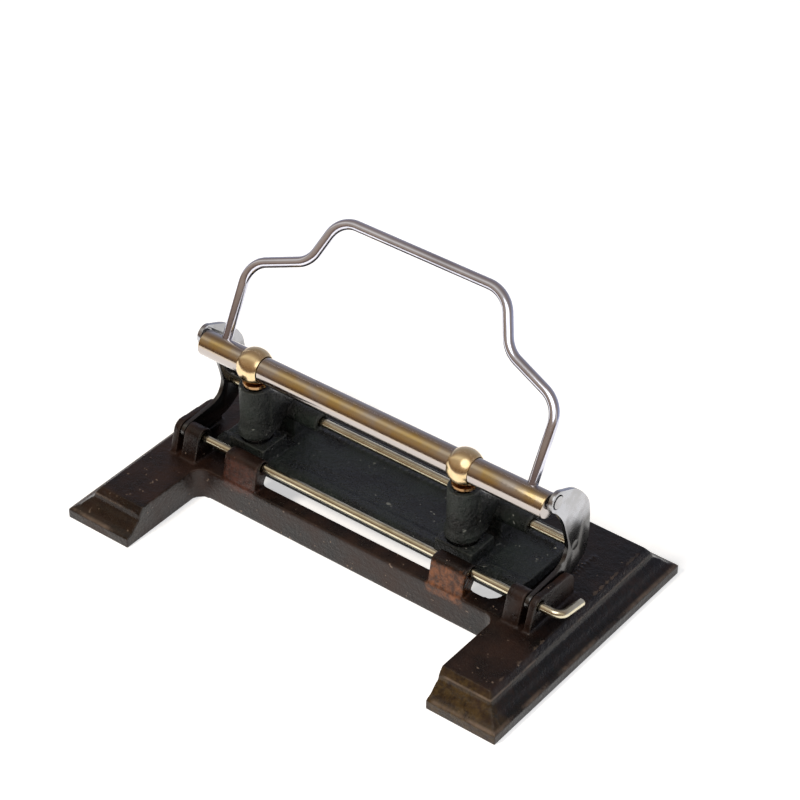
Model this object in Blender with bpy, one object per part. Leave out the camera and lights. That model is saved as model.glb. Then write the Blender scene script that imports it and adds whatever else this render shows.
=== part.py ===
"""Two-hole paper perforator: cast iron base, punch frame, hook plates,
eccentric bar with a wire bail, brass ball eyes and two punches.
Metres, +Z up. The origin is on the table, under the middle of the base.
+X is to the right and +Y to the back; paper goes in from the front."""
import math

import bmesh
import bpy
from mathutils import Matrix, Vector

# Clearances
SEAT_GAP = 0.0003        # between pieces that rest on or fit into each other
RUNNING_GAP = 0.0003     # round a piece that turns or slides
SINK = 0.0008            # how far a joined lump reaches into its casting
OVERCUT = 0.002          # how far a cutter runs past the metal

# Punches, and the balls on the bar over them
HOLE_SPACING = 0.06985   # 2 3/4 inches
HOLES_MIDDLE_X = -0.0045
PUNCH_Y = 0.00052        # midway along the travel of the balls
PUNCH_RADIUS = 0.0028
PUNCH_TIP_Z = 0.0183
PUNCH_TOP_Z = 0.0334
DIE_RADIUS = 0.0041
DIE_HEIGHT = 0.0035
BALL_RADIUS = 0.00508
SPIGOT_RADIUS = 0.0016
SPIGOT_TOP_Z = 0.0374
SHANK_TOP_Z = 0.0366
SHANK_RADIUS = 0.0020
SHANK_BOTTOM_Z = 0.0346
NECK_RADIUS = 0.0011
STEM_FOOT_RADIUS = 0.0019
STEM_FOOT_HEIGHT = 0.0008
STEM_FOOT_Z = 0.0310
COUPLING_PLAY = 0.00035  # above and below the stem's foot, in the punch's head
COLLAR_RADIUS = 0.0035
COLLAR_HEIGHT = 0.0008
COLLAR_BOTTOM_Z = 0.0360

# Bar, eccentric journals and bail
BAR_Y = 0.00065
BAR_Z = 0.04166
BAR_RADIUS = 0.00364
BAR_PAST_BAIL = 0.0062   # from a leg of the bail to the bar's end
ECCENTRICITY = 0.0019
JOURNAL_LEAN = math.radians(47)   # of the journals' side of the bar, from upright
JOURNAL_RADIUS = 0.0018
TENON_RADIUS = 0.0010
TENON_LENGTH = 0.0036
JOURNAL_PROUD = 0.0002
WIRE_RADIUS = 0.00145
BAIL_TO_BALL = 0.004445  # clear of the left ball, which is nearer its leg
BAIL_LEAN = math.radians(28)
BAIL_SUNK = 0.0015       # how far a leg goes past the bar's axis
BAIL_BEND_RADIUS = 0.0080
SHOULDER_HEIGHT = 0.0250
SHOULDER_WIDTH = 0.0182
WAIST_HEIGHT = 0.0321
GRIP_TAPER = 0.0055
GRIP_HEIGHT = 0.0459

# Hook plates and the rods that hold them
PLATE_THICKNESS = 0.0012
PLATE_BAR_GAP = 0.0006
HEAD_RADIUS = 0.0030
FOOT_RADIUS = 0.0025
ROD_RADIUS = 0.0012
FRONT_ROD_Y = -0.0070
FRONT_ROD_Z = 0.0158
REAR_ROD_Y = 0.01095
REAR_ROD_Z = 0.0232
ROD_PROUD = 0.0005
TAIL_PAST_CHEEK = 0.0061
TAIL_LENGTH = 0.0095
TAIL_DROP = 0.0018
TAIL_BEND_RADIUS = 0.0026
# Edges of a hook plate, as places from the rods and the journal
BACK_FROM_JOURNAL = ((0.0032, 0.0018), (0.0075, -0.0003), (0.0107, -0.0032), (0.0134, -0.0068))
BACK_FROM_REAR_ROD = ((0.0058, 0.0097), (0.0063, 0.0030), (0.0055, -0.0044), (0.0029, -0.0068),
                      (-0.0019, -0.0096))
BACK_FROM_FRONT_ROD = ((0.0090, -0.0031),)
THROAT_FROM_FRONT_ROD = ((0.0066, 0.0029), (0.0106, 0.0033))
THROAT_FROM_REAR_ROD = ((-0.0046, -0.0027), (-0.0032, 0.0003), (-0.0034, 0.0030), (-0.0048, 0.0080))
THROAT_FROM_JOURNAL = ((0.0025, -0.0077), (0.0, -0.0041))

# Lugs, cheeks and knuckles of the base
INNER_LUG_WIDTH = 0.0051
LUG_RADIUS = 0.0029
LUG_FRONT_Y = -0.0120
LUG_BACK_Y = -0.0034
CHEEK_WIDTH = 0.0020
CHEEK_BACK_Y = 0.0083
CHEEK_TOP_Z = 0.0179
CHEEK_ROUNDING = 0.0040
KNUCKLE_WIDTH = 0.0112
KNUCKLE_OFFSET = 0.0032
KNUCKLE_WALL = 0.0008
KNUCKLE_REACH = 0.0035   # from the rod's axis to the front face
KNUCKLE_INSET = 0.0001   # of its root from the crossbar's faces

# Base casting
CHEEK_TO_EDGE = 0.0111   # from a cheek's outer face to the base's edge
FOOT_PAST_LUG = 0.0015
FOOT_TO_WINDOW = 0.0038
BASE_DEPTH = 0.0826
BASE_HEIGHT = 0.0098
CROSSBAR_FRONT_Y = -0.01185
CROSSBAR_THICKNESS = 0.0048
WINDOW_BACK_Y = 0.0080
CORNER_RADIUS = 0.0035
# Moulding round the base, as inset and height
MOULDING = ((0.0, 0.0), (0.0, 0.0030), (0.0021, 0.0039), (0.0033, 0.0053),
            (0.0049, 0.0065), (0.0053, 0.0080), (0.0066, BASE_HEIGHT))

# Punch frame
DECK_TO_LUG = 0.0006
DECK_FRONT_Y = -0.0044
DECK_BACK_Y = 0.0240
DECK_TOP_Z = 0.0136
DECK_ROLL_HEIGHT = 0.0006
DECK_ROLL_DEPTH = 0.0050
DECK_ROLL_RISE = 0.0024  # from the front edge to the roll's full height
DECK_EDGE = 0.0010
PEDESTAL_TOP_Z = 0.0186
PEDESTAL_LEFT = 0.0053
PEDESTAL_RIGHT = 0.0066
PEDESTAL_BACK = 0.0050
CHIP_HOLE_CLEARANCE = 0.0006
PAPER_SLOT = 0.0012
GUIDE_RADIUS = 0.00445
GUIDE_FOOT_RADIUS = 0.0051
GUIDE_FOOT_HEIGHT = 0.0027
GUIDE_TOP_Z = 0.0354
ARM_LEFT = 0.0042
ARM_RIGHT = 0.0050
ARM_ROOT_FRONT_Y = 0.0106
ARM_ROOT_BACK_Y = 0.01755
ARM_TOP_BELOW_GUIDE = 0.0012
HUB_RADIUS = 0.0030
HUB_LENGTH = 0.0095
SHOULDER_INSET = 0.0004  # of the arm's shoulder from the hub's round
SHOULDER_STEP = 0.0015   # how far back of the middle the arm's top bends

# Screws that hold the punch frame, from beneath
SCREW_RADIUS = 0.0015
SCREW_HEAD_RADIUS = 0.0028
SCREW_HEAD_HEIGHT = 0.0020
SCREW_RECESS = 0.0008
SCREW_END_BELOW_DECK = 0.0010
SCREW_SLOT = 0.0007
SCREW_ROW_Y = 0.0140
MIDDLE_SCREW_STEP = 0.0199   # in from the punches
MIDDLE_SCREW_Y = 0.0180

# Fineness of round shapes
ROUND_SIDES = 32
PIN_SIDES = 28
HOLE_SIDES = 24
ROD_SIDES = 20
WIRE_SIDES = 14
BEND_STEPS = 7
BEVEL_STEPS = 5
OUTLINE_STEPS = 4
BALL_RINGS = 18

# Places worked out from the sizes above
POST_X = (HOLES_MIDDLE_X - HOLE_SPACING / 2, HOLES_MIDDLE_X + HOLE_SPACING / 2)
BAIL_FOOT_X = max(-POST_X[0], POST_X[1]) + BALL_RADIUS + BAIL_TO_BALL + WIRE_RADIUS
WAIST_X = BAIL_FOOT_X - SHOULDER_WIDTH
GRIP_X = WAIST_X - GRIP_TAPER
BAR_LENGTH = 2 * (BAIL_FOOT_X + BAR_PAST_BAIL)
JOURNAL_Y = BAR_Y + ECCENTRICITY * math.sin(JOURNAL_LEAN)
JOURNAL_Z = BAR_Z + ECCENTRICITY * math.cos(JOURNAL_LEAN)
PLATE_INNER_X = BAR_LENGTH / 2 + PLATE_BAR_GAP
PLATE_OUTER_X = PLATE_INNER_X + PLATE_THICKNESS
LUG_INNER_X = PLATE_INNER_X - SEAT_GAP
CHEEK_INNER_X = PLATE_OUTER_X + SEAT_GAP
CHEEK_OUTER_X = CHEEK_INNER_X + CHEEK_WIDTH
TAIL_X = CHEEK_OUTER_X + TAIL_PAST_CHEEK
BASE_WIDTH = 2 * (CHEEK_OUTER_X + CHEEK_TO_EDGE)
FOOT_INNER_X = LUG_INNER_X - INNER_LUG_WIDTH - FOOT_PAST_LUG
WINDOW_HALF_WIDTH = FOOT_INNER_X - FOOT_TO_WINDOW
DECK_HALF_WIDTH = LUG_INNER_X - INNER_LUG_WIDTH - DECK_TO_LUG
DECK_BOTTOM_Z = BASE_HEIGHT + SEAT_GAP
CROSSBAR_BACK_Y = CROSSBAR_FRONT_Y + CROSSBAR_THICKNESS
KNUCKLE_RADIUS = ROD_RADIUS + KNUCKLE_WALL
PEDESTAL_FRONT_Y = FRONT_ROD_Y + KNUCKLE_RADIUS + SEAT_GAP
GUIDE_BOTTOM_Z = PEDESTAL_TOP_Z + PAPER_SLOT
SIDES = (("left", -1), ("right", 1))


def make_material(name, colour, roughness, metallic):
    material = bpy.data.materials.new(name)
    material.use_nodes = True
    shader = material.node_tree.nodes["Principled BSDF"]
    shader.inputs["Base Color"].default_value = (*colour, 1.0)
    shader.inputs["Roughness"].default_value = roughness
    shader.inputs["Metallic"].default_value = metallic
    return material


def object_from(bm, name, material=None):
    """A new object that holds the shape in bm, with its faces outward."""
    bmesh.ops.recalc_face_normals(bm, faces=bm.faces)
    if bm.calc_volume(signed=True) < 0:
        bmesh.ops.reverse_faces(bm, faces=bm.faces)
    mesh = bpy.data.meshes.new(name)
    bm.to_mesh(mesh)
    bm.free()
    piece = bpy.data.objects.new(name, mesh)
    bpy.context.scene.collection.objects.link(piece)
    if material:
        mesh.materials.append(material)
    return piece


def smooth(piece, degrees=40):
    piece.data.shade_smooth()
    piece.data.set_sharp_from_angle(angle=math.radians(degrees))


def set_origin(piece, point):
    """Move a piece's origin to a point, with its shape left where it is."""
    piece.data.transform(Matrix.Translation(-Vector(point)))
    piece.location = point


def hide_helper(helper):
    helper.hide_render = True
    helper.display_type = "WIRE"


def combine(piece, helper, operation):
    modifier = piece.modifiers.new(helper.name, "BOOLEAN")
    modifier.operation = operation
    modifier.object = helper
    hide_helper(helper)


def add(piece, lump):
    combine(piece, lump, "UNION")


def cut(piece, cutter):
    combine(piece, cutter, "DIFFERENCE")


def box(name, low, high, material=None):
    bm = bmesh.new()
    bmesh.ops.create_cube(bm, size=1.0)
    low, high = Vector(low), Vector(high)
    size = Matrix.Diagonal((*(high - low), 1.0))
    bm.transform(Matrix.Translation((low + high) / 2) @ size)
    return object_from(bm, name, material)


def bevel_edges(piece, width, chosen):
    """Round the edges for which chosen(edge) is true."""
    bm = bmesh.new()
    bm.from_mesh(piece.data)
    edges = [edge for edge in bm.edges if chosen(edge)]
    bmesh.ops.bevel(bm, geom=edges, offset=width, segments=BEVEL_STEPS, profile=0.5, affect="EDGES")
    bm.to_mesh(piece.data)
    bm.free()


def is_upright(edge):
    start, end = (vertex.co for vertex in edge.verts)
    return (end - start).xy.length < 1e-6


def rod(name, start, end, radius, sides=ROD_SIDES, material=None):
    start, end = Vector(start), Vector(end)
    bm = bmesh.new()
    bmesh.ops.create_cone(bm, cap_ends=True, segments=sides, radius1=radius, radius2=radius,
                          depth=(end - start).length)
    turn = (end - start).to_track_quat("Z", "Y").to_matrix().to_4x4()
    bm.transform(Matrix.Translation((start + end) / 2) @ turn)
    return object_from(bm, name, material)


def prism(name, outline, start_x, end_x, material=None):
    """A solid with an outline of (y, z) points, drawn out along X."""
    bm = bmesh.new()
    face = bm.faces.new([bm.verts.new((start_x, y, z)) for y, z in outline])
    drawn = bmesh.ops.extrude_face_region(bm, geom=[face])
    moved = [item for item in drawn["geom"] if isinstance(item, bmesh.types.BMVert)]
    bmesh.ops.translate(bm, verts=moved, vec=(end_x - start_x, 0, 0))
    return object_from(bm, name, material)


def turned(name, profile, centre, sides=ROUND_SIDES, material=None):
    """A solid of revolution about an upright axis, from (radius, z) points."""
    bm = bmesh.new()
    points = [bm.verts.new((radius, 0, z)) for radius, z in profile]
    edges = [bm.edges.new(pair) for pair in zip(points, points[1:])]
    bmesh.ops.spin(bm, geom=points + edges, cent=(0, 0, 0), axis=(0, 0, 1),
                   angle=math.tau, steps=sides, use_merge=True)
    bmesh.ops.remove_doubles(bm, verts=bm.verts, dist=1e-6)
    poles = [vertex for vertex in bm.verts if vertex.co.xy.length < 1e-6]
    bmesh.ops.dissolve_verts(bm, verts=poles)
    bm.transform(Matrix.Translation((centre[0], centre[1], 0)))
    return object_from(bm, name, material)


def tube(name, path, radius, material):
    """A round wire along a path of points, with closed ends."""
    curve = bpy.data.curves.new(name, "CURVE")
    curve.dimensions = "3D"
    curve.bevel_depth = radius
    curve.bevel_resolution = (WIRE_SIDES - 4) // 2
    curve.use_fill_caps = True
    spline = curve.splines.new("POLY")
    spline.points.add(len(path) - 1)
    for point, place in zip(spline.points, path):
        point.co = (*place, 1.0)
    guide = bpy.data.objects.new(name + "_path", curve)
    bpy.context.scene.collection.objects.link(guide)
    shape = guide.to_mesh()
    bm = bmesh.new()
    bm.from_mesh(shape)
    guide.to_mesh_clear()
    bpy.data.objects.remove(guide)
    bmesh.ops.remove_doubles(bm, verts=bm.verts, dist=1e-6)
    piece = object_from(bm, name, material)
    smooth(piece)
    return piece


def arc(centre, radius, start, end, steps=BEND_STEPS):
    """Points on a circle in a plane, from one angle to another in degrees."""
    angles = [math.radians(start + (end - start) * step / steps) for step in range(steps + 1)]
    return [(centre[0] + radius * math.cos(a), centre[1] + radius * math.sin(a)) for a in angles]


def bend(corners, radius):
    """A path through the corners, each inner one rounded with an arc."""
    path = [Vector(corners[0])]
    for before, corner, after in zip(corners, corners[1:], corners[2:]):
        corner = Vector(corner)
        back = (Vector(before) - corner).normalized()
        ahead = (Vector(after) - corner).normalized()
        half = back.angle(ahead) / 2
        setback = radius / math.tan(half)
        middle = corner + (back + ahead).normalized() * radius / math.sin(half)
        start = (corner + back * setback - middle).normalized()
        end = (corner + ahead * setback - middle).normalized()
        for step in range(BEND_STEPS + 1):
            path.append(middle + radius * start.slerp(end, step / BEND_STEPS))
    path.append(Vector(corners[-1]))
    return path


def flowing(knots):
    """A smooth line through the knots, without the first and last of them."""
    points = []
    for a, b, c, d in zip(knots, knots[1:], knots[2:], knots[3:]):
        for step in range(OUTLINE_STEPS):
            t = step / OUTLINE_STEPS
            points.append(tuple(
                0.5 * (2 * q + (r - p) * t + (2 * p - 5 * q + 4 * r - s) * t * t
                       + (3 * q - p - 3 * r + s) * t ** 3)
                for p, q, r, s in zip(a, b, c, d)))
    return points


def from_point(origin, offsets):
    return [(origin[0] + y, origin[1] + z) for y, z in offsets]


def clear_scene():
    for item in list(bpy.data.objects):
        bpy.data.objects.remove(item, do_unlink=True)


def base_casting(material):
    """Moulded base with a front bay between its feet, and a window for the chips."""
    bm = bmesh.new()
    rings = []
    for inset, z in MOULDING:
        x, y = BASE_WIDTH / 2 - inset, BASE_DEPTH / 2 - inset
        rings.append([bm.verts.new((a * x, b * y, z)) for a, b in ((-1, -1), (1, -1), (1, 1), (-1, 1))])
    for lower, upper in zip(rings, rings[1:]):
        for corner in range(4):
            following = (corner + 1) % 4
            bm.faces.new((lower[corner], lower[following], upper[following], upper[corner]))
    bm.faces.new(rings[0])
    bm.faces.new(rings[-1])
    base = object_from(bm, "base_casting", material)
    bay = box("front_bay", (-FOOT_INNER_X, -BASE_DEPTH, -OVERCUT),
              (FOOT_INNER_X, CROSSBAR_FRONT_Y, BASE_HEIGHT + OVERCUT))
    bevel_edges(bay, CORNER_RADIUS, lambda edge: is_upright(edge) and edge.verts[0].co.y > -BASE_DEPTH / 2)
    cut(base, bay)
    window = box("chip_window", (-WINDOW_HALF_WIDTH, CROSSBAR_BACK_Y, -OVERCUT),
                 (WINDOW_HALF_WIDTH, WINDOW_BACK_Y, BASE_HEIGHT + OVERCUT))
    bevel_edges(window, CORNER_RADIUS, is_upright)
    cut(base, window)
    for side, sign in SIDES:
        add_lugs(base, side, sign)
    for side, post in zip(("left", "right"), POST_X):
        add_knuckle(base, side, post + KNUCKLE_OFFSET)
    reach = CHEEK_OUTER_X + OVERCUT
    cut(base, rod("front_rod_hole", (-reach, FRONT_ROD_Y, FRONT_ROD_Z),
                  (reach, FRONT_ROD_Y, FRONT_ROD_Z), ROD_RADIUS + SEAT_GAP))
    for number, (x, y) in enumerate(screw_places()):
        well = rod(f"screw_well_{number}", (x, y, -OVERCUT),
                   (x, y, SCREW_RECESS + SCREW_HEAD_HEIGHT + SEAT_GAP), SCREW_HEAD_RADIUS + SEAT_GAP)
        cut(base, well)
        hole = rod(f"screw_hole_{number}", (x, y, SCREW_RECESS), (x, y, BASE_HEIGHT + OVERCUT),
                   SCREW_RADIUS + SEAT_GAP)
        cut(base, hole)
    return base


def add_lugs(base, side, sign):
    """A lug inside the hook plate, and outside it a cheek that runs further back."""
    root_z = BASE_HEIGHT - SINK
    axle = (FRONT_ROD_Y, FRONT_ROD_Z)
    lug = [(LUG_FRONT_Y, root_z), *arc(axle, LUG_RADIUS, 160, 0, 10), (LUG_BACK_Y, root_z)]
    add(base, prism(side + "_lug", lug, sign * (LUG_INNER_X - INNER_LUG_WIDTH), sign * LUG_INNER_X))
    corner = (CHEEK_BACK_Y - CHEEK_ROUNDING, CHEEK_TOP_Z - CHEEK_ROUNDING)
    cheek = [(LUG_FRONT_Y, root_z), *arc(axle, LUG_RADIUS, 160, 80, 6),
             *arc(corner, CHEEK_ROUNDING, 90, 0), (CHEEK_BACK_Y, root_z)]
    add(base, prism(side + "_cheek", cheek, sign * CHEEK_INNER_X, sign * CHEEK_OUTER_X))


def add_knuckle(base, side, middle):
    """A knuckle on the crossbar, which carries the front rod."""
    back = FRONT_ROD_Y + KNUCKLE_RADIUS
    front = FRONT_ROD_Y - KNUCKLE_REACH
    top = FRONT_ROD_Z + KNUCKLE_RADIUS
    crown_radius = KNUCKLE_RADIUS
    root_z = BASE_HEIGHT - SINK
    outline = [(CROSSBAR_FRONT_Y + KNUCKLE_INSET, root_z),
               (front, FRONT_ROD_Z),
               *arc((front + crown_radius, top - crown_radius), crown_radius, 170, 95, 5),
               *arc((back - crown_radius, top - crown_radius), crown_radius, 85, 0, 5),
               (back, FRONT_ROD_Z - KNUCKLE_RADIUS),
               (CROSSBAR_BACK_Y - KNUCKLE_INSET, BASE_HEIGHT + SINK),
               (CROSSBAR_BACK_Y - KNUCKLE_INSET, root_z)]
    half = KNUCKLE_WIDTH / 2
    add(base, prism(side + "_knuckle", outline, middle - half, middle + half))


def screw_places():
    """Middle of each screw: two behind the punches, and two between them."""
    return [(POST_X[0], SCREW_ROW_Y), (POST_X[1], SCREW_ROW_Y),
            (POST_X[0] + MIDDLE_SCREW_STEP, MIDDLE_SCREW_Y), (POST_X[1] - MIDDLE_SCREW_STEP, MIDDLE_SCREW_Y)]


def punch_frame(material):
    """Deck with two goosenecks, each with a punch guide over a die pedestal."""
    front, back, low, top = DECK_FRONT_Y, DECK_BACK_Y, DECK_BOTTOM_Z, DECK_TOP_Z
    roll_back = front + DECK_ROLL_DEPTH
    outline = [(front, low), (front, top - DECK_EDGE), (front + DECK_EDGE, top),
               (front + DECK_ROLL_RISE, top + DECK_ROLL_HEIGHT), (roll_back, top + DECK_ROLL_HEIGHT),
               (roll_back + DECK_EDGE, top), (back - DECK_EDGE, top), (back, top - DECK_EDGE), (back, low)]
    frame = prism("punch_frame", outline, -DECK_HALF_WIDTH, DECK_HALF_WIDTH, material)
    for side, x in zip(("left", "right"), POST_X):
        add(frame, gooseneck(side, x))
        cut(frame, rod(side + "_chip_hole", (x, PUNCH_Y, DECK_BOTTOM_Z - OVERCUT),
                       (x, PUNCH_Y, PEDESTAL_TOP_Z - DIE_HEIGHT / 2),
                       PUNCH_RADIUS + CHIP_HOLE_CLEARANCE, ROUND_SIDES))
    for number, (x, y) in enumerate(screw_places()):
        cut(frame, rod(f"screw_thread_{number}", (x, y, DECK_BOTTOM_Z - OVERCUT),
                       (x, y, DECK_TOP_Z - SCREW_END_BELOW_DECK + SEAT_GAP), SCREW_RADIUS + SEAT_GAP))
    return frame


def gooseneck(side, x):
    """Arm, punch guide and die pedestal of one side, to be joined to the deck."""
    root_z = DECK_TOP_Z - SINK
    arch_radius = (ARM_ROOT_FRONT_Y - PUNCH_Y - GUIDE_FOOT_RADIUS + SINK) / 2
    arch = arc((ARM_ROOT_FRONT_Y - arch_radius, GUIDE_BOTTOM_Z), arch_radius, 0, 165, 10)
    arm_top = GUIDE_TOP_Z - ARM_TOP_BELOW_GUIDE
    shoulder = arc((REAR_ROD_Y, REAR_ROD_Z), HUB_RADIUS - SHOULDER_INSET, 60, 0, 4)
    arm_front = PUNCH_Y + SINK
    arm = [(arm_front, GUIDE_BOTTOM_Z + SINK), (arm_front, arm_top), (PUNCH_Y + GUIDE_RADIUS / 2, arm_top),
           ((PUNCH_Y + REAR_ROD_Y) / 2 + SHOULDER_STEP, (arm_top + REAR_ROD_Z + HUB_RADIUS) / 2),
           *shoulder, (ARM_ROOT_BACK_Y, DECK_TOP_Z), (ARM_ROOT_BACK_Y, root_z),
           (ARM_ROOT_FRONT_Y, root_z), *arch]
    neck = prism(side + "_arm", arm, x - ARM_LEFT, x + ARM_RIGHT)
    shoulder_z = GUIDE_BOTTOM_Z + GUIDE_FOOT_HEIGHT
    guide = turned(side + "_guide", [(0, GUIDE_TOP_Z), (GUIDE_RADIUS, GUIDE_TOP_Z),
                                     (GUIDE_RADIUS, shoulder_z),
                                     (GUIDE_FOOT_RADIUS, shoulder_z - (GUIDE_FOOT_RADIUS - GUIDE_RADIUS)),
                                     (GUIDE_FOOT_RADIUS, GUIDE_BOTTOM_Z), (0, GUIDE_BOTTOM_Z)], (x, PUNCH_Y))
    add(neck, guide)
    hub = rod(side + "_hub", (x + ARM_RIGHT - SINK, REAR_ROD_Y, REAR_ROD_Z),
              (x + ARM_RIGHT + HUB_LENGTH, REAR_ROD_Y, REAR_ROD_Z), HUB_RADIUS, PIN_SIDES)
    add(neck, hub)
    add(neck, box(side + "_pedestal", (x - PEDESTAL_LEFT, PEDESTAL_FRONT_Y, root_z),
                  (x + PEDESTAL_RIGHT, PUNCH_Y + PEDESTAL_BACK, PEDESTAL_TOP_Z)))
    bore = PUNCH_RADIUS + RUNNING_GAP
    pocket = DIE_RADIUS + SEAT_GAP
    pocket_z = PEDESTAL_TOP_Z - DIE_HEIGHT - SEAT_GAP
    slot_z = GUIDE_BOTTOM_Z - PAPER_SLOT / 2
    top = GUIDE_TOP_Z + OVERCUT
    cut(neck, turned(side + "_punch_way", [(0, top), (bore, top), (bore, slot_z), (pocket, slot_z),
                                           (pocket, pocket_z), (0, pocket_z)], (x, PUNCH_Y)))
    cut(neck, rod(side + "_rear_rod_hole", (x - 2 * ARM_LEFT, REAR_ROD_Y, REAR_ROD_Z),
                  (x + ARM_RIGHT + HUB_LENGTH + OVERCUT, REAR_ROD_Y, REAR_ROD_Z), ROD_RADIUS + SEAT_GAP))
    return neck


def die(side, x, material):
    """Steel ring that the punch enters."""
    bore = PUNCH_RADIUS + RUNNING_GAP
    bottom = PEDESTAL_TOP_Z - DIE_HEIGHT
    ring = turned(side + "_die", [(bore, PEDESTAL_TOP_Z), (DIE_RADIUS, PEDESTAL_TOP_Z),
                                  (DIE_RADIUS, bottom), (bore, bottom), (bore, PEDESTAL_TOP_Z)],
                  (x, PUNCH_Y), ROUND_SIDES, material)
    smooth(ring)
    return ring


def hook_plate(side, sign, material):
    """C-shaped steel plate from the front rod, past the rear rod, to the journal."""
    journal = (JOURNAL_Y, JOURNAL_Z)
    rear = (REAR_ROD_Y, REAR_ROD_Z)
    front = (FRONT_ROD_Y, FRONT_ROD_Z)
    head = arc(journal, HEAD_RADIUS, 235, 60, 14)
    foot = arc(front, FOOT_RADIUS, 270, 90, 10)
    back_edge = flowing([head[-2], head[-1],
                         *from_point(journal, BACK_FROM_JOURNAL), *from_point(rear, BACK_FROM_REAR_ROD),
                         *from_point(front, BACK_FROM_FRONT_ROD), foot[0], foot[1]])
    throat_edge = flowing([foot[-2], foot[-1], *from_point(front, THROAT_FROM_FRONT_ROD),
                           *from_point(rear, THROAT_FROM_REAR_ROD),
                           *from_point(journal, THROAT_FROM_JOURNAL), head[0], head[1]])
    outline = head[:-1] + back_edge + foot[:-1] + throat_edge
    plate = prism(side + "_hook_plate", outline, sign * PLATE_INNER_X, sign * PLATE_OUTER_X, material)
    for hole, (y, z), radius in (("journal", journal, JOURNAL_RADIUS + RUNNING_GAP),
                                 ("rear", rear, ROD_RADIUS + SEAT_GAP),
                                 ("front", front, ROD_RADIUS + SEAT_GAP)):
        start = (sign * (PLATE_INNER_X - OVERCUT), y, z)
        end = (sign * (PLATE_OUTER_X + OVERCUT), y, z)
        cut(plate, rod(f"{side}_plate_{hole}_hole", start, end, radius, HOLE_SIDES))
    smooth(plate, 30)
    return plate


def front_rod(material):
    """Rod through the lugs, knuckles and plates, bent back at its right end."""
    left_end = CHEEK_OUTER_X + ROD_PROUD
    corners = [(-left_end, FRONT_ROD_Y, FRONT_ROD_Z), (TAIL_X, FRONT_ROD_Y, FRONT_ROD_Z),
               (TAIL_X, FRONT_ROD_Y + TAIL_LENGTH, FRONT_ROD_Z - TAIL_DROP)]
    return tube("front_rod", bend(corners, TAIL_BEND_RADIUS), ROD_RADIUS, material)


def rear_rod(material):
    """Rod through the hubs, with its ends flush with the hook plates."""
    piece = rod("rear_rod", (-PLATE_OUTER_X, REAR_ROD_Y, REAR_ROD_Z),
                (PLATE_OUTER_X, REAR_ROD_Y, REAR_ROD_Z), ROD_RADIUS, ROD_SIDES, material)
    smooth(piece)
    return piece


def frame_screw(number, x, y, material):
    """Slotted cheese-head screw, put in from beneath."""
    head_top = SCREW_RECESS + SCREW_HEAD_HEIGHT
    end = DECK_TOP_Z - SCREW_END_BELOW_DECK
    screw = turned(f"frame_screw_{number}", [(0, end), (SCREW_RADIUS, end), (SCREW_RADIUS, head_top),
                                             (SCREW_HEAD_RADIUS, head_top),
                                             (SCREW_HEAD_RADIUS, SCREW_RECESS), (0, SCREW_RECESS)],
                   (x, y), ROD_SIDES, material)
    smooth(screw)
    cut(screw, box(f"screw_slot_{number}", (x - 2 * SCREW_HEAD_RADIUS, y - SCREW_SLOT / 2, 0),
                   (x + 2 * SCREW_HEAD_RADIUS, y + SCREW_SLOT / 2, SCREW_RECESS + SCREW_SLOT)))
    return screw


def eccentric_bar(material):
    half = BAR_LENGTH / 2
    bar = rod("eccentric_bar", (-half, BAR_Y, BAR_Z), (half, BAR_Y, BAR_Z), BAR_RADIUS, ROUND_SIDES, material)
    smooth(bar)
    for side, sign in SIDES:
        inner = (sign * (half - TENON_LENGTH - SEAT_GAP), JOURNAL_Y, JOURNAL_Z)
        outer = (sign * (half + OVERCUT), JOURNAL_Y, JOURNAL_Z)
        cut(bar, rod(side + "_tenon_hole", inner, outer, TENON_RADIUS + SEAT_GAP))
        deep = bail_point(sign * BAIL_FOOT_X, -BAIL_SUNK - SEAT_GAP)
        clear = bail_point(sign * BAIL_FOOT_X, BAR_RADIUS + OVERCUT)
        cut(bar, rod(side + "_bail_hole", deep, clear, WIRE_RADIUS + SEAT_GAP))
    return bar


def journal_pin(side, sign, material):
    """Eccentric pin: a thin tenon in the bar and a journal in the hook plate."""
    half = BAR_LENGTH / 2
    shoulder = half + SEAT_GAP
    profile = [(0, half - TENON_LENGTH), (TENON_RADIUS, half - TENON_LENGTH), (TENON_RADIUS, shoulder),
               (JOURNAL_RADIUS, shoulder), (JOURNAL_RADIUS, PLATE_OUTER_X + JOURNAL_PROUD),
               (0, PLATE_OUTER_X + JOURNAL_PROUD)]
    pin = turned(side + "_journal", profile, (0, 0), PIN_SIDES, material)
    pin.data.transform(Matrix.Rotation(sign * math.pi / 2, 4, "Y"))
    pin.data.transform(Matrix.Translation((0, JOURNAL_Y, JOURNAL_Z)))
    smooth(pin)
    return pin


def bail_point(x, height):
    """A point in the bail's leaning plane, at a height along it from the bar."""
    return (x, BAR_Y + height * math.sin(BAIL_LEAN), BAR_Z + height * math.cos(BAIL_LEAN))


def bail_handle(material):
    half = [(BAIL_FOOT_X, -BAIL_SUNK), (BAIL_FOOT_X, SHOULDER_HEIGHT), (WAIST_X, WAIST_HEIGHT),
            (GRIP_X, GRIP_HEIGHT)]
    corners = [bail_point(-x, height) for x, height in half]
    corners += [bail_point(x, height) for x, height in reversed(half)]
    return tube("bail_handle", bend(corners, BAIL_BEND_RADIUS), WIRE_RADIUS, material)


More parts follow.
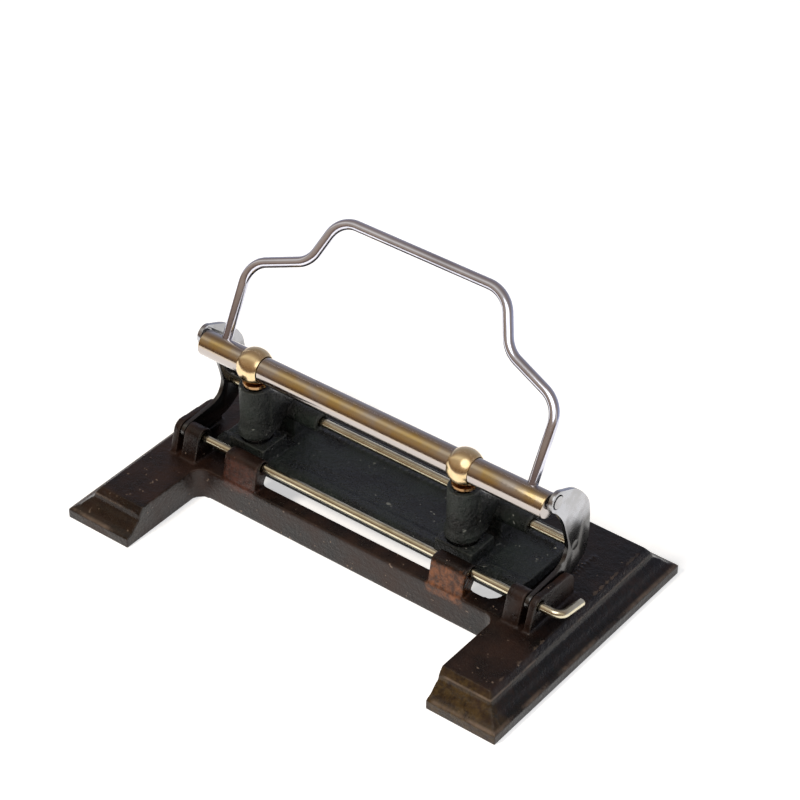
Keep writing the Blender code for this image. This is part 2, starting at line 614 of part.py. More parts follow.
def ball(side, x, material):
    """Ball bored for the bar, with a hole below for its stem."""
    bm = bmesh.new()
    bmesh.ops.create_uvsphere(bm, u_segments=ROUND_SIDES, v_segments=BALL_RINGS, radius=BALL_RADIUS)
    bm.transform(Matrix.Translation((x, BAR_Y, BAR_Z)))
    piece = object_from(bm, side + "_ball", material)
    smooth(piece)
    cut(piece, rod(side + "_ball_bore", (x - 2 * BALL_RADIUS, BAR_Y, BAR_Z),
                   (x + 2 * BALL_RADIUS, BAR_Y, BAR_Z), BAR_RADIUS + RUNNING_GAP, ROUND_SIDES))
    cut(piece, rod(side + "_stem_hole", (x, BAR_Y, BAR_Z - 2 * BALL_RADIUS), (x, BAR_Y, BAR_Z - OVERCUT),
                   SPIGOT_RADIUS + SEAT_GAP, ROD_SIDES))
    set_origin(piece, (x, BAR_Y, BAR_Z))
    return piece


def ball_stem(side, x, material):
    """Turned stem from the ball down to a foot in the punch's head."""
    foot_top = STEM_FOOT_Z + STEM_FOOT_HEIGHT
    stem = turned(side + "_ball_stem", [(0, SPIGOT_TOP_Z), (SPIGOT_RADIUS, SPIGOT_TOP_Z),
                                        (SPIGOT_RADIUS, SHANK_TOP_Z), (SHANK_RADIUS, SHANK_TOP_Z),
                                        (SHANK_RADIUS, SHANK_BOTTOM_Z), (NECK_RADIUS, SHANK_BOTTOM_Z),
                                        (NECK_RADIUS, foot_top), (STEM_FOOT_RADIUS, foot_top),
                                        (STEM_FOOT_RADIUS, STEM_FOOT_Z), (0, STEM_FOOT_Z)],
                  (x, BAR_Y), ROD_SIDES, material)
    smooth(stem)
    set_origin(stem, (x, BAR_Y, BAR_Z))
    return stem


def collar(side, x, material):
    """Brass ring on the ball's shank, over the guide."""
    bore = SHANK_RADIUS + SEAT_GAP
    top = COLLAR_BOTTOM_Z + COLLAR_HEIGHT
    ring = turned(side + "_collar", [(bore, top), (COLLAR_RADIUS, top), (COLLAR_RADIUS, COLLAR_BOTTOM_Z),
                                     (bore, COLLAR_BOTTOM_Z), (bore, top)], (x, BAR_Y), ROUND_SIDES, material)
    smooth(ring)
    set_origin(ring, (x, BAR_Y, BAR_Z))
    return ring


def punch(side, x, material):
    """Round punch with a cross slot in its head for the ball's foot."""
    piece = rod(side + "_punch", (x, PUNCH_Y, PUNCH_TIP_Z), (x, PUNCH_Y, PUNCH_TOP_Z), PUNCH_RADIUS,
                ROUND_SIDES, material)
    smooth(piece)
    foot_low = STEM_FOOT_Z - COUPLING_PLAY
    foot_high = STEM_FOOT_Z + STEM_FOOT_HEIGHT + COUPLING_PLAY
    reach = 2 * PUNCH_RADIUS
    for name, half, low, high in (("foot_slot", STEM_FOOT_RADIUS + RUNNING_GAP, foot_low, foot_high),
                                  ("neck_slot", NECK_RADIUS + RUNNING_GAP, foot_low + SEAT_GAP,
                                   PUNCH_TOP_Z + OVERCUT)):
        cut(piece, box(f"{side}_{name}", (x - half, PUNCH_Y - reach, low), (x + half, PUNCH_Y + reach, high)))
    set_origin(piece, (x, PUNCH_Y, PUNCH_TIP_Z))
    return piece


def parent_to_shaft(pieces):
    """The bar, its journals and the bail turn together about the journals' axis."""
    axis = bpy.data.objects.new("journal_axis", None)
    axis.location = (0, JOURNAL_Y, JOURNAL_Z)
    bpy.context.scene.collection.objects.link(axis)
    for piece in pieces:
        set_origin(piece, axis.location)
        piece.location = (0, 0, 0)
        piece.parent = axis


def build():
    clear_scene()
    iron = make_material("japanned_iron", (0.035, 0.026, 0.022), 0.42, 0.2)
    frame_iron = make_material("green_black_iron", (0.016, 0.020, 0.016), 0.40, 0.2)
    plate_steel = make_material("satin_steel", (0.46, 0.46, 0.48), 0.32, 1.0)
    rod_steel = make_material("drawn_steel", (0.55, 0.50, 0.36), 0.28, 1.0)
    bright_steel = make_material("polished_steel", (0.60, 0.57, 0.52), 0.16, 1.0)
    tool_steel = make_material("tool_steel", (0.42, 0.42, 0.43), 0.30, 1.0)
    brass = make_material("brass", (0.62, 0.40, 0.13), 0.24, 1.0)
    base_casting(iron)
    punch_frame(frame_iron)
    for side, sign in SIDES:
        hook_plate(side, sign, plate_steel)
    front_rod(rod_steel)
    rear_rod(rod_steel)
    for number, (x, y) in enumerate(screw_places(), 1):
        frame_screw(number, x, y, tool_steel)
    for side, x in zip(("left", "right"), POST_X):
        die(side, x, tool_steel)
        punch(side, x, tool_steel)
        ball(side, x, brass)
        ball_stem(side, x, brass)
        collar(side, x, brass)
    turning = [eccentric_bar(bright_steel), bail_handle(bright_steel)]
    turning += [journal_pin(side, sign, tool_steel) for side, sign in SIDES]
    parent_to_shaft(turning)


build()
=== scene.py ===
"""Looks of the two-hole paper perforator: sand castings in worn japan, a
nickelled bar with a wire bail, brass ball eyes, and steel plates and rods."""
import math

import bpy
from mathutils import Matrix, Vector


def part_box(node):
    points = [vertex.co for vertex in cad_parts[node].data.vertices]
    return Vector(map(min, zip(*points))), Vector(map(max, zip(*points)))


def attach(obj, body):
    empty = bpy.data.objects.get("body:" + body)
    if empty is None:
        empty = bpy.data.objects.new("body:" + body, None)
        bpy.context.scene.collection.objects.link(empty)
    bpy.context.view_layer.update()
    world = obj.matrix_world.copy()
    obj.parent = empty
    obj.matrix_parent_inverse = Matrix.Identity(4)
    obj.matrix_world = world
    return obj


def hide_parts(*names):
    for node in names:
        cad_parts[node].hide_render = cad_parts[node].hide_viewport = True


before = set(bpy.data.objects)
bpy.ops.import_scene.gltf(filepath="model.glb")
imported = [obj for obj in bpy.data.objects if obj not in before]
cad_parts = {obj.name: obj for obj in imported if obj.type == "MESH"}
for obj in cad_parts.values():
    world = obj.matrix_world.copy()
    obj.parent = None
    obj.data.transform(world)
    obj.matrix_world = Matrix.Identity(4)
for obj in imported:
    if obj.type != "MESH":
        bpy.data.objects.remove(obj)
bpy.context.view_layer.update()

# Sizes in metres, as the solids have them
BAR_Y = 0.00065
BAR_Z = 0.04166
BAR_RADIUS = 0.00364
BAR_LENGTH = 0.1132
BALL_RADIUS = 0.00508
BALL_X = (-0.039425, 0.030425)
WIRE_RADIUS = 0.00145
BAIL_LEAN = math.radians(28)
BAIL_CORNERS = ((0.0504, -0.0015), (0.0504, 0.0250), (0.0322, 0.0321), (0.0267, 0.0459))
BAIL_BEND_RADIUS = 0.0080
ROD_RADIUS = 0.0012
FRONT_ROD_Y = -0.0070
FRONT_ROD_Z = 0.0158
REAR_ROD_Y = 0.01095
REAR_ROD_Z = 0.0232
TAIL_X = 0.0668
TAIL_LENGTH = 0.0095
TAIL_DROP = 0.0018
TAIL_BEND_RADIUS = 0.0026
FOOT_TOP = 0.0098
DECK_TOP = 0.0136
DECK_HALF_WIDTH = 0.0512

# Sizes that only the looks need, in metres
BORE_GAP = 0.00015           # between the bar and a ball's bore
CAST_GRAIN = 0.00035         # finest form that a casting keeps
BEAD_RADIUS = 0.0008         # row of beads across the deck
BEAD_SPACING = 0.0021
BEAD_ROW_Y = 0.0174
BEAD_ROW_MARGIN = 0.003      # from the deck's side to the row's end
RIDGE_DOT_RADIUS = 0.00055   # dotted ridge on the right foot
RIDGE_DOTS = 8
RIDGE_X = 0.0565
RIDGE_Y = (0.0128, 0.0239)
DOT_SINK = 0.0001            # of a bead's middle below the face it stands on
FILED_END_RADIUS = 0.00156
FILED_DIP = 0.00001          # of a filed end below the plate's face
DRESSED_EDGE = 0.00018       # rounding of the plates' and the balls' edges
BAR_CHAMFER = 0.00035
WELD = 0.000002              # points closer than this become one

# How round forms are made
ROUND_SIDES = 96
WIRE_SIDES = 32
BEND_STEP = math.radians(5)
ALONG_X = (0, math.pi / 2, 0)          # turn that lays an upright form along the bar

# Faces that turn by less than these are merged into one, or shaded as one
FLAT_ANGLE = math.radians(0.5)
SMOOTH_ANGLE = math.radians(38)

# Direction from the bar's axis, up from the back, to the side where a gold band is
# painted as a reflection, and between which distances that way the band comes in
GOLD_BAND_ANGLE = math.radians(128)
GOLD_BAND_SIDE = (0, math.cos(GOLD_BAND_ANGLE), math.sin(GOLD_BAND_ANGLE))
GOLD_BAND_REACH = (BAR_RADIUS * 0.72, BAR_RADIUS * 0.93)

# Patches laid over the base's japan: middle, reach each way, shade and strength. The
# knuckles are rusty in front, the feet's fronts get a bronze-brown painted highlight,
# and the right side gets a black painted shade.
BASE_RUST_AND_PAINTED_LIGHT = (((0.0336, -0.0110, 0.0120), (0.0064, 0.0040, 0.0052), "#7c4b2b", 0.90),
             ((-0.0362, -0.0110, 0.0120), (0.0064, 0.0040, 0.0052), "#4c2b20", 0.80),
             ((0.0590, -0.0390, 0.0050), (0.0160, 0.0050, 0.0060), "#4a391d", 0.75),
             ((-0.0590, -0.0390, 0.0050), (0.0160, 0.0050, 0.0060), "#2c2116", 0.50),
             ((0.0716, -0.0020, 0.0050), (0.0060, 0.0420, 0.0064), "#090d0d", 0.95))

# How far the grain moves a patch's sides, and between which distances from
# its middle it fades, both as shares of its reach
PATCH_RAGGED = 0.7
PATCH_FADES = (1.35, 1.05)

# Ridges of the feet's moulding, where a painted highlight line is laid: their heights,
# how far from each the painted line starts and is full, and between which X the feet begin
RIDGE_HEIGHTS = (0.0031, 0.0079)
RIDGE_HIGHLIGHT_WIDTH = (0.0004, 0.0001)
FEET_BEGIN = (0.0515, 0.0525)

# Heights between which painted shade darkens the metal, going down, and by
# how much the noise raises a point of the plates
PLATE_SHADE_HEIGHTS = (0.041, 0.033)
PLATE_WANDER = 0.012
BALL_SHADE_HEIGHTS = (0.0385, 0.0368)

# Widths of the patterns in the finishes, in metres
JAPAN_CLOUD = 0.012
JAPAN_CHIP = 0.0021
SAND_GRAIN = 0.0013
PLATE_CLOUD = 0.005
BRASS_BLOTCH = 0.004
NICKEL_PATCH = 0.007
RING_SCALE = (1 / 0.001, 1 / 0.02, 1 / 0.02)   # 1 mm along the bar, 20 mm round it

# Roughness of the finishes, from their glossiest places to their dullest
JAPAN_GLOSS = (0.17, 0.44)
BRASS_GLOSS = (0.17, 0.28)
NICKEL_GLOSS = (0.09, 0.2)

# Camera, fitted to the photograph
CAMERA_PLACE = (0.34636, -0.43796, 0.47324)
CAMERA_TARGET = (0.00292, 0.00065, 0.02651)
CAMERA_LENS = 122.27
CAMERA_SHIFT = (0.0253, 0.0886)

WHITE = "#ffffff"
BLACK = "#000000"

# Floor, just under the feet, with a glow that only the camera and mirrors see
FLOOR_COLOUR = "#f4f4f4"
FLOOR_SIZE = 6.0
FLOOR_Z = -0.00002
FLOOR_GLOW = 0.55

# Light: the room's strength, and each lamp's place, size, power and colour
ROOM_LIGHT = 0.26
LAMPS = (("key", (-0.16, -0.56, 0.66), (0.16, 0.16), 5.0, "#fff4e6"),
         ("fill", (0.30, -0.62, 0.34), (0.30, 0.30), 1.6, "#f6f7ff"))

# Tent that only mirrors see: its size, the angle it spans each way from
# upright about the bar, and its colours from the front edge to the back edge
TENT_RADIUS = 0.160
TENT_LENGTH = 0.60
TENT_SPAN = math.radians(105)
TENT_COLOURS = ((0.0, "#59483c"), (0.086, "#6c5447"), (0.143, "#8f7a66"), (0.20, "#a18d7c"),
                (0.257, "#a7998a"), (0.319, "#aa9d90"), (0.376, "#dad2c6"), (0.433, "#ded8ce"),
                (0.49, "#b0a498"), (0.562, "#8a7e76"), (0.629, "#817372"), (0.795, "#929199"),
                (0.90, "#a5a9bd"))

# Round card for the highlights
FLASH_RADIUS = 0.048
FLASH_PLACE = (0.066, -0.050, 0.120)
FLASH_STRENGTH = 2.1


def linear(colour):
    """An sRGB hex colour as linear red, green, blue and alpha."""
    parts = [int(colour[start:start + 2], 16) / 255 for start in (1, 3, 5)]
    return (*[c / 12.92 if c <= 0.04045 else ((c + 0.055) / 1.055) ** 2.4 for c in parts], 1.0)


def pick(*pieces):
    """Make these pieces the only selected ones, and the first the active one."""
    bpy.ops.object.select_all(action="DESELECT")
    for piece in pieces:
        piece.select_set(True)
    bpy.context.view_layer.objects.active = pieces[0]


def named(name):
    """Give the piece that was made last its name."""
    piece = bpy.context.object
    piece.name = name
    piece.data.name = name
    return piece


def settle(piece):
    """Put a piece's place, turn and scale into its mesh."""
    pick(piece)
    bpy.ops.object.transform_apply(location=True, rotation=True, scale=True)


def added(make, name, **settings):
    """Add a form with one of Blender's own tools, to be worked on further."""
    bpy.ops.object.select_all(action="DESELECT")
    make(**settings)
    piece = named(name)
    settle(piece)
    return piece


def edit(piece, what="SELECT"):
    """Open a piece for work on its mesh, with all of it selected or none."""
    pick(piece)
    bpy.ops.object.mode_set(mode="EDIT")
    bpy.ops.mesh.select_all(action=what)


def leave_edit():
    """End the work on the mesh."""
    bpy.ops.object.mode_set(mode="OBJECT")


def finish_with(piece, kind, **settings):
    """Add a modifier with its settings, and apply it."""
    pick(piece)
    modifier = piece.modifiers.new(kind.lower(), kind)
    for key, value in settings.items():
        setattr(modifier, key, value)
    bpy.ops.object.modifier_apply(modifier=modifier.name)


def round_edges(piece, width, segments=3, angle=30):
    """Round the edges that turn by more than an angle in degrees."""
    finish_with(piece, "BEVEL", width=width, segments=segments, limit_method="ANGLE",
                angle_limit=math.radians(angle))
    pick(piece)
    bpy.ops.object.shade_smooth_by_angle(angle=SMOOTH_ANGLE)


def joined(pieces, name):
    """Make one piece of several."""
    pick(*pieces)
    bpy.ops.object.join()
    return named(name)


def merged_copy(node, name):
    """A copy of a solid with its loose triangles merged, to be finished further."""
    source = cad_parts[node]
    piece = source.copy()
    piece.data = source.data.copy()
    bpy.context.scene.collection.objects.link(piece)
    place = source.matrix_world.copy()
    piece.parent = None
    piece.matrix_world = place
    edit(piece)
    bpy.ops.mesh.remove_doubles(threshold=WELD)
    bpy.ops.mesh.dissolve_limited(angle_limit=FLAT_ANGLE)
    leave_edit()
    return named(name)


def cast(piece, passes, keep):
    """Run the lumps of a casting together and soften its edges, as sand does, and
    keep a share of its triangles."""
    finish_with(piece, "REMESH", mode="VOXEL", voxel_size=CAST_GRAIN)
    finish_with(piece, "SMOOTH", factor=0.5, iterations=passes)
    finish_with(piece, "DECIMATE", ratio=keep)
    pick(piece)
    bpy.ops.object.shade_smooth()


def finish_piece(piece, material, body, node):
    """Give a piece its finish, and put it in a solid's place on a body."""
    piece.data.materials.clear()
    piece.data.materials.append(material)
    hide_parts(node)
    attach(piece, body)


def bead(name, x, y, face, radius):
    """A ball half sunk in a level face of a casting, to be run into it."""
    return added(bpy.ops.mesh.primitive_uv_sphere_add, name, segments=16, ring_count=8,
                 radius=radius, location=(x, y, face - DOT_SINK))


def base_piece():
    """Base casting, with the dotted ridge on its right foot."""
    base = merged_copy("base_casting", "base_cast_iron")
    step = (RIDGE_Y[1] - RIDGE_Y[0]) / RIDGE_DOTS
    lumps = [bead(f"ridge_dot_{number}", RIDGE_X, RIDGE_Y[0] + (number + 0.5) * step, FOOT_TOP,
                  RIDGE_DOT_RADIUS) for number in range(RIDGE_DOTS)]
    base = joined([base, *lumps], "base_cast_iron")
    cast(base, passes=5, keep=0.46)
    return base


def frame_piece():
    """Punch frame, with the row of beads behind the rear rod."""
    iron = merged_copy("punch_frame", "punch_frame_cast_iron")
    start = -DECK_HALF_WIDTH + BEAD_ROW_MARGIN
    count = round(2 * (DECK_HALF_WIDTH - BEAD_ROW_MARGIN) / BEAD_SPACING)
    lumps = [bead(f"deck_bead_{number}", start + (number + 0.5) * BEAD_SPACING, BEAD_ROW_Y,
                  DECK_TOP, BEAD_RADIUS) for number in range(count)]
    iron = joined([iron, *lumps], "punch_frame_cast_iron")
    cast(iron, passes=3, keep=0.8)
    return iron


def plate_piece(side):
    """Hook plate with its edges dressed, and the rear rod's end filed flush in it."""
    plate = merged_copy(side + "_hook_plate", side + "_plate_steel")
    low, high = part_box(side + "_hook_plate")
    end = added(bpy.ops.mesh.primitive_cylinder_add, "filed_end", vertices=ROUND_SIDES // 2,
                radius=FILED_END_RADIUS, depth=high[0] - low[0] - 2 * FILED_DIP,
                location=((low[0] + high[0]) / 2, REAR_ROD_Y, REAR_ROD_Z), rotation=ALONG_X)
    plate = joined([plate, end], side + "_plate_steel")
    round_edges(plate, DRESSED_EDGE, segments=2)
    return plate


def bar_piece():
    """Ground bar with chamfered ends."""
    piece = added(bpy.ops.mesh.primitive_cylinder_add, "bar_nickelled", vertices=ROUND_SIDES,
                  radius=BAR_RADIUS, depth=BAR_LENGTH, location=(0, BAR_Y, BAR_Z),
                  rotation=ALONG_X)
    round_edges(piece, BAR_CHAMFER)
    return piece


def ball_piece(side, x):
    """Ball with its ends cut flat and bored for the bar."""
    bore = BAR_RADIUS + BORE_GAP
    half = math.sqrt(BALL_RADIUS ** 2 - bore ** 2)
    piece = added(bpy.ops.mesh.primitive_uv_sphere_add, side + "_ball_brass", segments=72,
                  ring_count=48, radius=BALL_RADIUS, location=(x, BAR_Y, BAR_Z),
                  rotation=ALONG_X)
    for sign in (-1, 1):
        edit(piece)
        bpy.ops.mesh.bisect(plane_co=(x + sign * half, BAR_Y, BAR_Z), plane_no=(sign, 0, 0),
                            clear_outer=True)
        leave_edit()
    edit(piece, "DESELECT")
    bpy.ops.mesh.select_mode(type="EDGE")
    bpy.ops.mesh.select_non_manifold()
    bpy.ops.mesh.bridge_edge_loops()
    bpy.ops.mesh.select_all(action="SELECT")
    bpy.ops.mesh.normals_make_consistent(inside=False)
    bpy.ops.mesh.select_mode(type="VERT")
    leave_edit()
    round_edges(piece, DRESSED_EDGE, angle=40)
    return piece


def wire(name, corners, radius, bend_radius):
    """Round wire bent over a former: each straight is drawn out, each bend spun."""
    corners = [Vector(corner) for corner in corners]
    heading = (corners[1] - corners[0]).normalized()
    piece = added(bpy.ops.mesh.primitive_circle_add, name, vertices=WIRE_SIDES, radius=radius,
                  fill_type="NGON", location=corners[0],
                  rotation=heading.to_track_quat("Z", "Y").to_euler())
    edit(piece)
    here = corners[0]
    for corner, following in zip(corners[1:], corners[2:]):
        ahead = (following - corner).normalized()
        axis = heading.cross(ahead).normalized()
        angle = heading.angle(ahead)
        setback = bend_radius * math.tan(angle / 2)
        start = corner - heading * setback
        centre = start + axis.cross(heading) * bend_radius
        bpy.ops.mesh.extrude_region_move(TRANSFORM_OT_translate={"value": start - here})
        bpy.ops.mesh.spin(steps=max(3, round(angle / BEND_STEP)), angle=-angle, center=centre,
                          axis=axis)
        here = corner + ahead * setback
        heading = ahead
    bpy.ops.mesh.extrude_region_move(TRANSFORM_OT_translate={"value": corners[-1] - here})
    bpy.ops.mesh.select_all(action="SELECT")
    bpy.ops.mesh.remove_doubles(threshold=WELD)
    bpy.ops.mesh.normals_make_consistent(inside=False)
    leave_edit()
    round_edges(piece, radius * 0.25, angle=50)
    return piece


def bail_piece():
    """Bail with a raised grip, the same on both sides, at its lean."""
    points = [(-x, height) for x, height in BAIL_CORNERS]
    points += [(x, height) for x, height in reversed(BAIL_CORNERS)]
    corners = [(x, BAR_Y + height * math.sin(BAIL_LEAN), BAR_Z + height * math.cos(BAIL_LEAN))
               for x, height in points]
    return wire("bail_steel_wire", corners, WIRE_RADIUS, BAIL_BEND_RADIUS)


def front_rod_piece():
    """Front rod, its tail bent back and a little down."""
    low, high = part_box("front_rod")
    corners = ((low[0], FRONT_ROD_Y, FRONT_ROD_Z), (TAIL_X, FRONT_ROD_Y, FRONT_ROD_Z),
               (TAIL_X, FRONT_ROD_Y + TAIL_LENGTH, FRONT_ROD_Z - TAIL_DROP))
    return wire("front_rod_steel", corners, ROD_RADIUS, TAIL_BEND_RADIUS)


def rear_rod_piece():
    """Rear rod, straight, its ends just behind the filed faces."""
    low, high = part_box("rear_rod")
    corners = ((low[0] + 2 * FILED_DIP, REAR_ROD_Y, REAR_ROD_Z),
               (high[0] - 2 * FILED_DIP, REAR_ROD_Y, REAR_ROD_Z))
    return wire("rear_rod_steel", corners, ROD_RADIUS, 0)


def add_node(tree, kind, output, sockets, **settings):
    """Add a node with its settings; each socket gets a link or a value. Returns the output."""
    node = tree.nodes.new("ShaderNode" + kind)
    for key, value in settings.items():
        setattr(node, key, value)
    inputs = {socket.identifier: socket for socket in node.inputs}
    for key, value in sockets.items():
        if isinstance(value, bpy.types.NodeSocket):
            tree.links.new(value, inputs[key])
        else:
            inputs[key].default_value = value
    return {socket.identifier: socket for socket in node.outputs}[output]


def object_place(tree):
    """Where a point is on the piece, in metres."""
    return add_node(tree, "TexCoord", "Object", {})


def noise(tree, place, size, detail, roughness=0.5):
    """Cloudy pattern, from 0 to 1, with forms of a size in metres."""
    return add_node(tree, "TexNoise", "Fac", {"Vector": place, "Scale": 1 / size,
                                              "Detail": detail, "Roughness": roughness})


def ramp(tree, value, start, end, low=0.0, high=1.0):
    """Go from low to high while a value goes from start to end, and level beyond."""
    return add_node(tree, "MapRange", "Result", {"Value": value, "From Min": start,
                                                 "From Max": end, "To Min": low,
                                                 "To Max": high})


def compute(tree, operation, *values):
    """A sum with one, two or three values."""
    sockets = dict(zip(("Value", "Value_001", "Value_002"), values))
    return add_node(tree, "Math", "Value", sockets, operation=operation)


def compute_vector(tree, operation, *vectors, output="Vector"):
    """A sum with one or two vectors."""
    sockets = dict(zip(("Vector", "Vector_001"), vectors))
    return add_node(tree, "VectorMath", output, sockets, operation=operation)


def axes(tree, vector):
    """A vector's X, Y and Z, by name."""
    return add_node(tree, "SeparateXYZ", "X", {"Vector": vector}).node.outputs


def blend(tree, share, under, over):
    """Lay a colour over another by its share. Each is an sRGB hex or a node's output."""
    under, over = [linear(c) if isinstance(c, str) else c for c in (under, over)]
    return add_node(tree, "Mix", "Result_Color", {"Factor_Float": share, "A_Color": under,
                                                  "B_Color": over}, data_type="RGBA")


def new_material(name, **constants):
    """A material, its tree and its shader, with some of the shader's constants."""
    material = bpy.data.materials.new(name)
    material.use_nodes = True
    tree = material.node_tree
    shader = tree.nodes["Principled BSDF"]
    for key, value in constants.items():
        shader.inputs[key.replace("_", " ")].default_value = value
    return material, tree, shader


def feed(tree, shader, **outputs):
    """Link outputs to a shader's sockets."""
    for key, output in outputs.items():
        tree.links.new(output, shader.inputs[key.replace("_", " ")])


def rust_and_light_patch(tree, colour, place, grain, flaw, spot, reach, shade, strength):
    """Lay a patch over the japan, whether rust, painted highlight or painted shade: a box with
    ragged sides, flaky inside.
    """
    apart = compute_vector(tree, "SUBTRACT", place, spot)
    apart = compute_vector(tree, "DIVIDE", apart, reach)
    sides = axes(tree, compute_vector(tree, "ABSOLUTE", apart))
    furthest = compute(tree, "MAXIMUM", sides["X"], sides["Y"])
    furthest = compute(tree, "MAXIMUM", furthest, sides["Z"])
    ragged = compute(tree, "MULTIPLY_ADD", grain, PATCH_RAGGED, furthest)
    close = ramp(tree, ragged, *PATCH_FADES)
    flake = ramp(tree, flaw, 0.36, 0.64, 0.2 * strength, strength)
    return blend(tree, compute(tree, "MULTIPLY", close, flake), colour, shade)


def painted_ridge_highlight(tree, colour, place, cloud, height, wear_and_painted_light):
    """Lay a broken line of painted highlight, in the worn colour, along one ridge of the
    feet's moulding.
    """
    sides = axes(tree, place)
    outside = ramp(tree, compute(tree, "ABSOLUTE", sides["X"]), *FEET_BEGIN)
    apart = compute(tree, "ABSOLUTE", compute(tree, "SUBTRACT", sides["Z"], height))
    share = compute(tree, "MULTIPLY", ramp(tree, apart, *RIDGE_HIGHLIGHT_WIDTH), outside)
    share = compute(tree, "MULTIPLY", share, ramp(tree, cloud, 0.40, 0.60, 0.05, 0.55))
    return blend(tree, share, colour, wear_and_painted_light)


def baked_japan(name, deep, thin, wear_and_painted_light, shine, grit, rust_and_light_patches=(), highlight_heights=()):
    """Baked japan over sand-cast iron. It shows the sand's grain under a gloss that
    is dull in patches, thins along the edges, and is chipped in small specks. The
    patches it is given lay rust, painted highlight and painted shade over it, and
    the ridge heights get lines of painted highlight."""
    material, tree, shader = new_material(name, Specular_IOR_Level=shine)
    place = object_place(tree)
    cloud = noise(tree, place, JAPAN_CLOUD, 5.0, 0.6)
    grain = noise(tree, place, SAND_GRAIN, 4.0, 0.7)
    flaw = noise(tree, place, JAPAN_CHIP, 2.0, 0.8)
    colour = blend(tree, ramp(tree, cloud, 0.38, 0.68), deep, thin)
    edges = add_node(tree, "NewGeometry", "Pointiness", {})
    rubbed = compute(tree, "MULTIPLY", ramp(tree, edges, 0.52, 0.62, high=0.5), grain)
    colour = blend(tree, rubbed, colour, wear_and_painted_light)
    colour = blend(tree, ramp(tree, flaw, 0.69, 0.72, high=0.7), colour, wear_and_painted_light)
    # Patches of rust, painted highlight and painted shade
    for spot, reach, shade, strength in rust_and_light_patches:
        colour = rust_and_light_patch(tree, colour, place, grain, flaw, spot, reach, shade, strength)
    # Painted highlight lines along the moulding's ridges
    for height in highlight_heights:
        colour = painted_ridge_highlight(tree, colour, place, cloud, height, wear_and_painted_light)
    gloss = ramp(tree, cloud, 0.36, 0.64, *JAPAN_GLOSS)
    relief = add_node(tree, "Bump", "Normal", {"Height": grain, "Distance": grit,
                                               "Strength": 1.0})
    feed(tree, shader, Base_Color=colour, Roughness=gloss, Normal=relief)
    return material


def stained(tree, colour, stain, roughness, smear, much=0.6):
    """Colour and gloss of a metal with stains as wide as the smear, where its
    polish is duller."""
    cloud = noise(tree, object_place(tree), smear, 5.0, 0.6)
    tint = blend(tree, ramp(tree, cloud, 0.42, 0.72, high=much), colour, stain)
    return tint, ramp(tree, cloud, 0.35, 0.7, roughness * 0.8, roughness * 1.3)


def bare_steel(name, colour, stain, **look):
    """Bare steel, drawn or turned: even, with dull stains a few millimetres across."""
    material, tree, shader = new_material(name, Metallic=1.0)
    tint, gloss = stained(tree, colour, stain, **look)
    feed(tree, shader, Base_Color=tint, Roughness=gloss)
    return material


def sheet_steel():
    """Satin sheet steel: pale where it is handled, stained, and darkened low down by painted
    shade.
    """
    material, tree, shader = new_material("satin_sheet_steel", Metallic=1.0)
    tint, gloss = stained(tree, "#b9bbc0", "#97958f", roughness=0.27, smear=0.008)
    place = object_place(tree)
    cloud = noise(tree, place, PLATE_CLOUD, 4.0)
    # Painted shade: the plates darken going down
    height = compute(tree, "MULTIPLY_ADD", cloud, PLATE_WANDER, axes(tree, place)["Z"])
    tint = blend(tree, ramp(tree, height, *PLATE_SHADE_HEIGHTS, high=0.9), tint, "#4b4a48")
    feed(tree, shader, Base_Color=tint, Roughness=gloss)
    return material


def turned_brass():
    """Lathe-turned brass: pale where it is handled, browned in blotches, and darkened low down
    by painted shade.
    """
    material, tree, shader = new_material("turned_brass", Metallic=1.0)
    place = object_place(tree)
    cloud = noise(tree, place, BRASS_BLOTCH, 4.0)
    colour = blend(tree, ramp(tree, cloud, 0.42, 0.75, high=0.6), "#edd6aa", "#c79c5f")
    # Painted shade: the brass darkens low on the balls and on the collars under them
    low = ramp(tree, axes(tree, place)["Z"], *BALL_SHADE_HEIGHTS, high=0.8)
    colour = blend(tree, low, colour, "#9a7048")
    gloss = ramp(tree, cloud, 0.3, 0.7, *BRASS_GLOSS)
    feed(tree, shader, Base_Color=colour, Roughness=gloss)
    return material


def from_bar_axis(tree):
    """Where a point is from a point on the bar's axis."""
    return compute_vector(tree, "SUBTRACT", object_place(tree), (0, BAR_Y, BAR_Z))


def ground_nickel():
    """Nickelled bar, ground round its axis in fine rings, drawn 1 mm apart so that
    they show. A gold band is painted along its upper front side as a reflection,
    broken into patches."""
    material, tree, shader = new_material("ground_nickel", Metallic=1.0)
    place = object_place(tree)
    # Painted reflection: a gold band along the bar's upper front side
    facing = compute_vector(tree, "DOT_PRODUCT", from_bar_axis(tree), GOLD_BAND_SIDE,
                            output="Value")
    wear_and_painted_light = ramp(tree, facing, *GOLD_BAND_REACH)
    patch = ramp(tree, noise(tree, place, NICKEL_PATCH, 5.0), 0.34, 0.62, 0.1, 0.85)
    share = compute(tree, "MULTIPLY", wear_and_painted_light, patch)
    ringed = add_node(tree, "Mapping", "Vector", {"Vector": place, "Scale": RING_SCALE})
    gloss = ramp(tree, noise(tree, ringed, 1.0, 2.0), 0.3, 0.7, *NICKEL_GLOSS)
    feed(tree, shader, Base_Color=blend(tree, share, "#b9b2ae", "#cdae66"), Roughness=gloss)
    return material


def background_rays(tree):
    """1 for what the camera sees, straight on or in a mirror or glass, and 0 for
    plain light."""
    straight = add_node(tree, "LightPath", "Is Camera Ray", {})
    paths = straight.node.outputs
    seen = compute(tree, "MAXIMUM", straight, paths["Is Glossy Ray"])
    return compute(tree, "MAXIMUM", seen, paths["Is Transmission Ray"])


